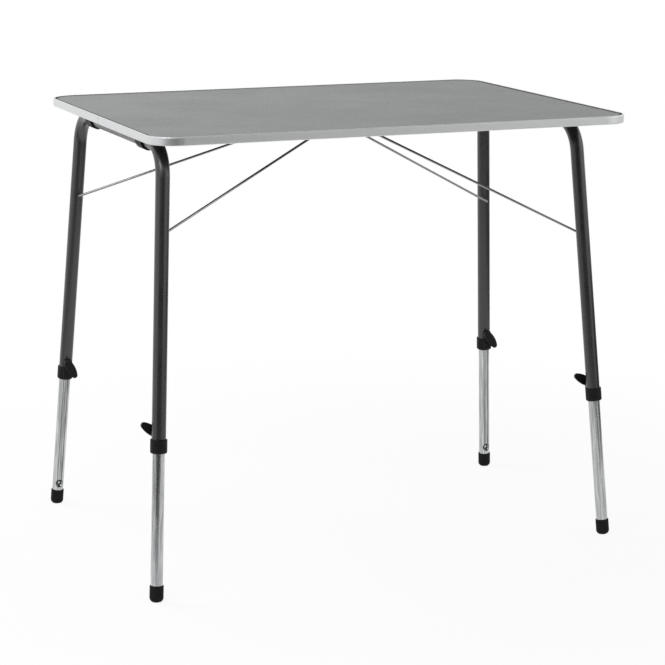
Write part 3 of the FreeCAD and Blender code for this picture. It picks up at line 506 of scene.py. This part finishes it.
def laminate_material(finish, detail):
    """Printed grey laminate with shade painted in a dark line along the gap at the trim, plain backing paper on
    the underside.
    """
    material, tree, shader, coordinates = start_material("grey_laminate")
    place = coordinates.outputs["Object"]
    printed = add_texture(
        tree, shader, place, "grey_laminate", finish.laminate_dark, finish.laminate_light,
        finish.laminate_roughness,
    )
    split = add_node(tree, "ShaderNodeSeparateXYZ")
    below = add_node(tree, "ShaderNodeMath", operation="LESS_THAN")
    below.inputs[1].default_value = FACES_DOWN
    faces = add_node(tree, "ShaderNodeMix", data_type="RGBA")
    faces.inputs["B"].default_value = opaque(finish.underside)
    tree.links.new(coordinates.outputs["Normal"], split.inputs[0])
    tree.links.new(split.outputs["Z"], below.inputs[0])
    tree.links.new(below.outputs[0], faces.inputs["Factor"])
    tree.links.new(printed, faces.inputs["A"])
    # A near-black line painted along the deck's edge stands for the shade in the gap between the deck and its trim
    half_length, half_width, corner = deck_outline()
    border = place_effect(
        tree, effect("border_line"), place,
        Core=(half_length - corner, half_width - corner, 0.0), Corner=corner, Line=detail.gap_shade_line,
    )
    joint = add_node(tree, "ShaderNodeMix", data_type="RGBA")
    joint.inputs["B"].default_value = opaque(finish.joint)
    tree.links.new(border.outputs["Mask"], joint.inputs["Factor"])
    tree.links.new(faces.outputs["Result"], joint.inputs["A"])
    tree.links.new(joint.outputs["Result"], shader.inputs["Base Color"])
    # The painted shade line also has no mirrored light
    sheen = add_node(tree, "ShaderNodeMapRange")
    set_inputs(sheen, To_Min=SHEEN["grey_laminate"], To_Max=0.0)
    tree.links.new(border.outputs["Mask"], sheen.inputs["Value"])
    tree.links.new(sheen.outputs["Result"], shader.inputs["Specular IOR Level"])
    return material


def leg_turn(leg):
    """Turn that brings a leg's own axis upright."""
    axis = Vector(JOINTS[f"{leg}_leg_slide"]["axis"])
    return axis.rotation_difference(Vector((0.0, 0.0, 1.0))).to_euler()


def tube_axis(leg):
    """Place and radius of a lower tube once its axis is upright."""
    turn = leg_turn(leg).to_matrix()
    points = [(turn @ vertex.co).xy for vertex in NODES[f"{leg}_lower_leg"].data.vertices]
    low = Vector(map(min, *points))
    high = Vector(map(max, *points))
    middle = (low + high) / 2
    return middle.to_3d(), max((point - middle).length for point in points)


def galvanised_material(finish, leg):
    """Bright zinc with streaks along one leg, with shade painted dark at the rims of its groove and in its round
    stop.
    """
    material, tree, shader, coordinates = start_material(f"galvanised_{leg}")
    upright = add_node(tree, "ShaderNodeMapping")
    set_inputs(upright, Rotation=leg_turn(leg))
    tree.links.new(coordinates.outputs["Object"], upright.inputs["Vector"])
    stretched = add_node(tree, "ShaderNodeMapping")
    set_inputs(stretched, Scale=STREAKS)
    tree.links.new(upright.outputs["Vector"], stretched.inputs["Vector"])
    zinc = add_texture(
        tree, shader, stretched.outputs["Vector"], "galvanised_tube", finish.zinc_dark, finish.zinc_light,
        finish.zinc_roughness,
    )
    axis, radius = tube_axis(leg)
    # Mask of the shade painted in the groove and its round stop
    painted_shade = place_effect(
        tree, effect("groove_painted_shade"), upright.outputs["Vector"], Axis=axis, Radius=radius, Depth=STOP_DEPTH,
    )
    # Mixes the painted groove shade into the zinc colour
    dressed = add_node(tree, "ShaderNodeMix", data_type="RGBA")
    dressed.inputs["B"].default_value = opaque(finish.painted_shade)
    tree.links.new(painted_shade.outputs["Mask"], dressed.inputs["Factor"])
    tree.links.new(zinc, dressed.inputs["A"])
    tree.links.new(dressed.outputs["Result"], shader.inputs["Base Color"])
    set_inputs(shader, Metallic=1.0)
    return material


def give_finish(names, material):
    """Puts one material on sub-parts of the table."""
    for name in names:
        piece = NODES[name]
        piece.data.materials.clear()
        piece.data.materials.append(material)


def give_slot(slot, material):
    """Puts one material on all sub-parts of a material slot."""
    give_finish([name for name, dressed in SLOT_OF.items() if dressed == slot], material)


# One operator for each group of like pieces
class FinishBoard(bpy.types.Operator):
    """Gives the board its printed laminate and backing paper."""

    bl_idname = "camping_table.finish_board"
    bl_label = "Finish board"

    def execute(self, context):
        scene = context.scene
        give_finish(["table_board"], laminate_material(scene.table_finish, scene.table_detail))
        return {"FINISHED"}


class FinishTrim(bpy.types.Operator):
    """Gives the edge trim its satin silver."""

    bl_idname = "camping_table.finish_trim"
    bl_label = "Finish trim"

    def execute(self, context):
        finish = context.scene.table_finish
        give_finish(["edge_trim"], plain_material("silver_trim", finish.trim, finish.trim_roughness))
        return {"FINISHED"}


class FinishLegFrames(bpy.types.Operator):
    """Gives the two leg frames their charcoal coat."""

    bl_idname = "camping_table.finish_leg_frames"
    bl_label = "Finish leg frames"

    def execute(self, context):
        finish = context.scene.table_finish
        give_slot("charcoal_paint", plain_material("charcoal_paint", finish.paint, finish.paint_roughness))
        return {"FINISHED"}


class FinishLowerLegs(bpy.types.Operator):
    """Gives each lower tube its zinc, streaked along its own leg."""

    bl_idname = "camping_table.finish_lower_legs"
    bl_label = "Finish lower legs"

    def execute(self, context):
        for leg in LEGS:
            give_finish([f"{leg}_lower_leg"], galvanised_material(context.scene.table_finish, leg))
        return {"FINISHED"}


class FinishStays(bpy.types.Operator):
    """Gives the two wire stays their bright plating."""

    bl_idname = "camping_table.finish_stays"
    bl_label = "Finish stays"

    def execute(self, context):
        finish = context.scene.table_finish
        give_slot("bright_wire", plain_material("bright_wire", finish.wire, finish.wire_roughness))
        return {"FINISHED"}


def screw_places(name):
    """Centre lines of the screws in one CAD node, with their lowest and highest points."""
    spots = []
    for vertex in NODES[name].data.vertices:
        near = next((spot for spot in spots if (spot[0] - vertex.co).xy.length < SCREW_SPACE), None)
        if near is None:
            spots.append([vertex.co.copy(), vertex.co.copy()])
        else:
            near[0] = Vector(map(min, near[0], vertex.co))
            near[1] = Vector(map(max, near[1], vertex.co))
    return spots


def add_ring(mesh, centre, radius, height):
    """Adds a circle of points about a screw's centre line."""
    turns = [math.tau * step / SCREW_STEPS for step in range(SCREW_STEPS)]
    return [
        mesh.verts.new((centre.x + radius * math.cos(turn), centre.y + radius * math.sin(turn), height))
        for turn in turns
    ]


def add_cross(mesh, centre, reach, half, height):
    """Adds the twelve points of a cross about a screw's centre line."""
    arm = [(reach, -half), (reach, half), (half, half)]
    points = []
    for quarter in range(4):
        turn = Matrix.Rotation(math.pi / 2 * quarter, 2)
        points += [turn @ Vector(point) for point in arm]
    return [mesh.verts.new((centre.x + point.x, centre.y + point.y, height)) for point in points]


def join_loops(mesh, first, second):
    """Joins two loops of as many points with a band of faces."""
    size = len(first)
    for index in range(size):
        following = (index + 1) % size
        mesh.faces.new((first[index], first[following], second[following], second[index]))


def add_screw(mesh, low, high, detail):
    """Adds one pan head screw, head down, with a cross recess."""
    centre = (low + high) / 2
    head = detail.screw_head
    rim = low.z + detail.screw_head_height - detail.screw_crown
    rings = []
    for step in range(CROWN_STEPS + 1):
        turn = math.pi / 2 * step / CROWN_STEPS
        radius = head - detail.screw_crown * (1.0 - math.sin(turn))
        rings.append(add_ring(mesh, centre, radius, rim - detail.screw_crown * math.cos(turn)))
    rings.append(add_ring(mesh, centre, head, low.z + detail.screw_head_height))
    rings.append(add_ring(mesh, centre, detail.screw_shank, low.z + detail.screw_head_height))
    rings.append(add_ring(mesh, centre, detail.screw_shank, high.z - detail.screw_shank))
    for first, second in zip(rings, rings[1:]):
        join_loops(mesh, first, second)
    tip = mesh.verts.new((centre.x, centre.y, high.z))
    for first, second in zip(rings[-1], rings[-1][1:] + rings[-1][:1]):
        mesh.faces.new((first, second, tip))
    face = rings[0][0].co.z
    outer = add_cross(mesh, centre, detail.recess_reach, detail.recess_half, face)
    floor_reach, floor_half = detail.recess_reach * RECESS_REACH_TAPER, detail.recess_half * RECESS_HALF_TAPER
    floor = add_cross(mesh, centre, floor_reach, floor_half, face + detail.recess_depth)
    join_loops(mesh, outer, floor)
    mesh.faces.new(floor)
    edges = []
    for loop in (rings[0], outer):
        for first, second in zip(loop, loop[1:] + loop[:1]):
            edges.append(mesh.edges.get((first, second)))
    bmesh.ops.triangle_fill(mesh, use_beauty=True, use_dissolve=False, edges=edges)


def make_screws(name, detail):
    """Makes the screws of one CAD node as one piece."""
    build = bmesh.new()
    for low, high in screw_places(name):
        add_screw(build, low, high, detail)
    bmesh.ops.recalc_face_normals(build, faces=build.faces)
    for face in build.faces:
        face.smooth = True
    for edge in build.edges:
        edge.smooth = edge.calc_face_angle(0.0) < SHARP_ANGLE
    data = bpy.data.meshes.new(f"{name}_crossed")
    build.to_mesh(data)
    build.free()
    piece = bpy.data.objects.new(f"{name}_crossed", data)
    bpy.context.scene.collection.objects.link(piece)
    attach(piece, "top")
    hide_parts(name)
    return piece


class MakeScrews(bpy.types.Operator):
    """Makes the wood screws with cross recesses, and plates all screws."""

    bl_idname = "camping_table.make_screws"
    bl_label = "Make screws"

    def execute(self, context):
        finish = context.scene.table_finish
        plate = plain_material("plated_screws", finish.plated, finish.plated_roughness)
        for name in ("saddle_screws", "catch_screws"):
            make_screws(name, context.scene.table_detail).data.materials.append(plate)
        give_slot("plated_screws", plate)
        return {"FINISHED"}


class FinishMouldings(bpy.types.Operator):
    """Gives saddles, catch, collars, levers and plugs their black plastic."""

    bl_idname = "camping_table.finish_mouldings"
    bl_label = "Finish mouldings"

    def execute(self, context):
        finish = context.scene.table_finish
        give_slot("black_plastic", plain_material("black_plastic", finish.plastic, finish.plastic_roughness))
        return {"FINISHED"}


class FinishFeet(bpy.types.Operator):
    """Gives the feet their black rubber."""

    bl_idname = "camping_table.finish_feet"
    bl_label = "Finish feet"

    def execute(self, context):
        finish = context.scene.table_finish
        give_slot("black_rubber", plain_material("black_rubber", finish.rubber, finish.rubber_roughness))
        return {"FINISHED"}


# Studio
def background_rays(tree):
    """One for rays from the camera and for mirrored or see-through rays, and nought for the rest."""
    path = add_node(tree, "ShaderNodeLightPath")
    total = path.outputs["Is Camera Ray"]
    for ray in ("Is Glossy Ray", "Is Transmission Ray"):
        larger = add_node(tree, "ShaderNodeMath", operation="MAXIMUM")
        tree.links.new(total, larger.inputs[0])
        tree.links.new(path.outputs[ray], larger.inputs[1])
        total = larger.outputs[0]
    return total


def make_floor(studio):
    """A wide pale floor that shows white and keeps a soft shadow."""
    mesh = bpy.data.meshes.new("studio_floor")
    corners = [(x * FLOOR_REACH, y * FLOOR_REACH, 0.0) for x, y in ((-1, -1), (1, -1), (1, 1), (-1, 1))]
    mesh.from_pydata(corners, [], [(0, 1, 2, 3)])
    floor = bpy.data.objects.new("studio_floor", mesh)
    bpy.context.scene.collection.objects.link(floor)
    material = bpy.data.materials.new("studio_floor")
    material.use_nodes = True
    tree = material.node_tree
    tree.nodes.clear()
    leave = add_node(tree, "ShaderNodeOutputMaterial")
    matt = add_node(tree, "ShaderNodeBsdfDiffuse")
    matt.inputs["Color"].default_value = opaque(studio.floor_colour)
    glow = add_node(tree, "ShaderNodeEmission")
    mix = add_node(tree, "ShaderNodeMixShader")
    place = add_node(tree, "ShaderNodeTexCoord")
    distance = add_node(tree, "ShaderNodeVectorMath", operation="LENGTH")
    fade = add_node(tree, "ShaderNodeMapRange", interpolation_type="SMOOTHSTEP")
    set_inputs(fade, From_Min=FADE_START, From_Max=FADE_END, To_Min=studio.floor_white, To_Max=1.0)
    share = add_node(tree, "ShaderNodeMath", operation="MULTIPLY")
    tree.links.new(place.outputs["Object"], distance.inputs[0])
    tree.links.new(distance.outputs["Value"], fade.inputs["Value"])
    tree.links.new(background_rays(tree), share.inputs[0])
    tree.links.new(fade.outputs["Result"], share.inputs[1])
    tree.links.new(share.outputs[0], mix.inputs["Fac"])
    tree.links.new(matt.outputs[0], mix.inputs[1])
    tree.links.new(glow.outputs[0], mix.inputs[2])
    tree.links.new(mix.outputs[0], leave.inputs["Surface"])
    mesh.materials.append(material)


def make_room(studio):
    """White behind the table, soft even light on it."""
    world = bpy.data.worlds.new("studio_room")
    bpy.context.scene.world = world
    world.use_nodes = True
    tree = world.node_tree
    tree.nodes.clear()
    leave = add_node(tree, "ShaderNodeOutputWorld")
    soft = add_node(tree, "ShaderNodeBackground")
    set_inputs(soft, Color=(1.0, 1.0, 1.0, 1.0), Strength=studio.room_level)
    white = add_node(tree, "ShaderNodeBackground")
    set_inputs(white, Color=(1.0, 1.0, 1.0, 1.0), Strength=1.0)
    mix = add_node(tree, "ShaderNodeMixShader")
    tree.links.new(background_rays(tree), mix.inputs["Fac"])
    tree.links.new(soft.outputs[0], mix.inputs[1])
    tree.links.new(white.outputs[0], mix.inputs[2])
    tree.links.new(mix.outputs[0], leave.inputs["Surface"])


def add_lamp(name, power, place, aim, size, mirrored):
    """Adds a softbox that looks at a point."""
    lamp = bpy.data.lights.new(name, "AREA")
    lamp.shape = "RECTANGLE"
    lamp.size, lamp.size_y = size
    lamp.energy = power
    holder = bpy.data.objects.new(name, lamp)
    bpy.context.scene.collection.objects.link(holder)
    holder.location = place
    holder.rotation_euler = (Vector(aim) - Vector(place)).to_track_quat("-Z", "Y").to_euler()
    holder.visible_glossy = mirrored


def add_dark_card(name, corners, grey):
    """Puts a dark card beside the set, seen only in reflections."""
    mesh = bpy.data.meshes.new(name)
    mesh.from_pydata(corners, [], [tuple(range(len(corners)))])
    card = bpy.data.objects.new(name, mesh)
    bpy.context.scene.collection.objects.link(card)
    material = bpy.data.materials.new(name)
    material.use_nodes = True
    shader = next(node for node in material.node_tree.nodes if node.type == "BSDF_PRINCIPLED")
    set_inputs(shader, Base_Color=opaque((grey, grey, grey)), Roughness=1.0, Specular_IOR_Level=0.0)
    mesh.materials.append(material)
    card.visible_camera = False
    card.visible_diffuse = False
    card.visible_shadow = False
    card.visible_transmission = False


def make_camera(studio):
    """A long lens at the angle of the photograph."""
    camera = bpy.data.objects.new("studio_camera", bpy.data.cameras.new("studio_camera"))
    bpy.context.scene.collection.objects.link(camera)
    camera.data.sensor_width = SENSOR_WIDTH
    camera.data.lens = studio.camera_lens
    camera.data.clip_end = CAMERA_RANGE
    upright = Euler((math.pi / 2 - studio.camera_elevation, 0.0, studio.camera_azimuth)).to_matrix()
    turn = upright @ Matrix.Rotation(studio.camera_roll, 3, "Z")
    camera.matrix_world = Matrix.Translation(studio.camera_place) @ turn.to_4x4()
    bpy.context.scene.camera = camera


class SetStage(bpy.types.Operator):
    """Sets up the floor, the room, the lamps and the camera."""

    bl_idname = "camping_table.set_stage"
    bl_label = "Set stage"

    def execute(self, context):
        studio = context.scene.table_studio
        make_floor(studio)
        make_room(studio)
        for name, setup in LAMPS.items():
            add_lamp(f"{name}_softbox", getattr(studio, f"{name}_power"), *setup)
        for name, corners in DARK_CARDS.items():
            add_dark_card(name, corners, CARD_GREY if name.endswith("floor") else CARD_BLACK)
        make_camera(studio)
        context.scene.view_settings.view_transform = "Standard"
        return {"FINISHED"}


class TablePanel(bpy.types.Panel):
    """Lists the steps and settings of the table's looks."""

    bl_idname = "VIEW3D_PT_camping_table"
    bl_label = "Camping Table"
    bl_space_type = "VIEW_3D"
    bl_region_type = "UI"
    bl_category = "Camping Table"

    def draw(self, context):
        for step in STEPS:
            self.layout.operator(step.bl_idname)
        for settings in (context.scene.table_finish, context.scene.table_detail, context.scene.table_studio):
            column = self.layout.column()
            for name in settings.__annotations__:
                column.prop(settings, name)


STEPS = (
    FinishBoard, FinishTrim, FinishLegFrames, FinishLowerLegs, FinishStays, MakeScrews, FinishMouldings,
    FinishFeet, SetStage,
)
CLASSES = (TableFinishSettings, TableDetailSettings, TableStudioSettings, *STEPS, TablePanel)


def register():
    for item in CLASSES:
        bpy.utils.register_class(item)
    bpy.types.Scene.table_finish = PointerProperty(type=TableFinishSettings)
    bpy.types.Scene.table_detail = PointerProperty(type=TableDetailSettings)
    bpy.types.Scene.table_studio = PointerProperty(type=TableStudioSettings)


def unregister():
    del bpy.types.Scene.table_studio
    del bpy.types.Scene.table_detail
    del bpy.types.Scene.table_finish
    for item in reversed(CLASSES):
        bpy.utils.unregister_class(item)


def main():
    register()
    for step in STEPS:
        area, action = step.bl_idname.split(".")
        getattr(getattr(bpy.ops, area), action)()


if __name__ == "__main__":
    main()
